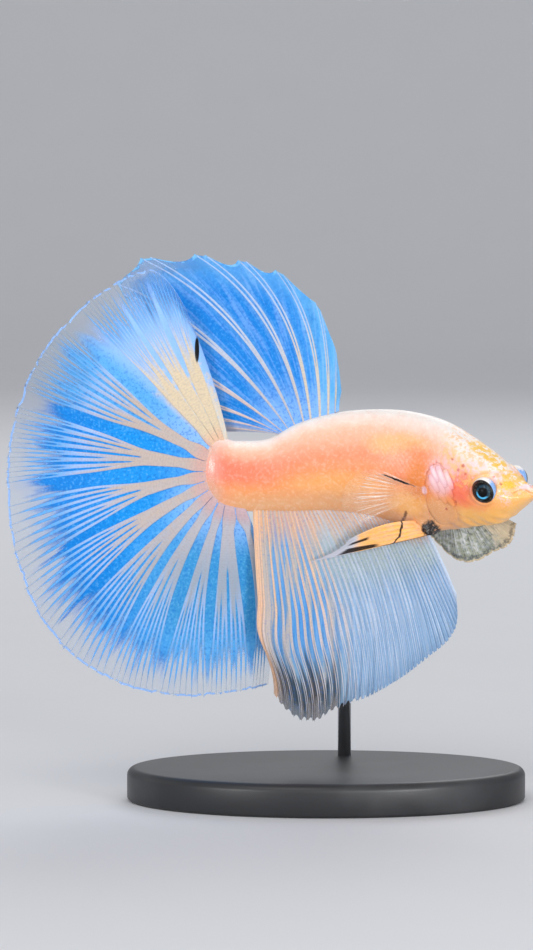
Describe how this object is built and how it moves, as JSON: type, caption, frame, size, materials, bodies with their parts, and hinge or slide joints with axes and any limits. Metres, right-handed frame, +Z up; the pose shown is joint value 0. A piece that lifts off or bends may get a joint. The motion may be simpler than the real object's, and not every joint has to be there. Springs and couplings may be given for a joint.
{
  "type": "halfmoon betta fish",
  "caption": "Life-size still halfmoon betta fish in mid turn, fins fully spread, held over an oval display base by one rod.",
  "frame": {"origin": "centre of the stand's underside", "axes": "+X the way the fish swims, +Y to the fish's left, +Z up"},
  "size_m": [0.0797, 0.038, 0.0822],
  "materials": {
    "skin": "satin painted scales, peach flank under a pearl-white back",
    "gill_cover": "pearly painted scales",
    "eye": "polished, with a clear dome",
    "dorsal_fin": "translucent azure membrane with cream rays",
    "caudal_fin": "translucent blue membrane with peach and white rays and a clear margin",
    "anal_fin": "translucent pale blue membrane with beige rays",
    "pelvic_fin": "orange rays with black streaks and a white point",
    "pectoral_fin": "nearly clear membrane with fine rays",
    "stand_base": "matte black",
    "stand_rod": "brushed"
  },
  "bodies": {
    "root": {"head": "skin", "lower_jaw": "skin", "trunk": "skin", "tail_stem": "skin", "gill_cover_right": "gill_cover", "gill_cover_left": "gill_cover", "eye_right": "eye", "eye_left": "eye", "dorsal_fin": "dorsal_fin", "caudal_fin": "caudal_fin", "anal_fin": "anal_fin", "pelvic_fin_right": "pelvic_fin", "pelvic_fin_left": "pelvic_fin", "pectoral_fin_right": "pectoral_fin", "pectoral_fin_left": "pectoral_fin", "stand_base": "stand_base", "stand_rod": "stand_rod"}
  },
  "joints": []
}
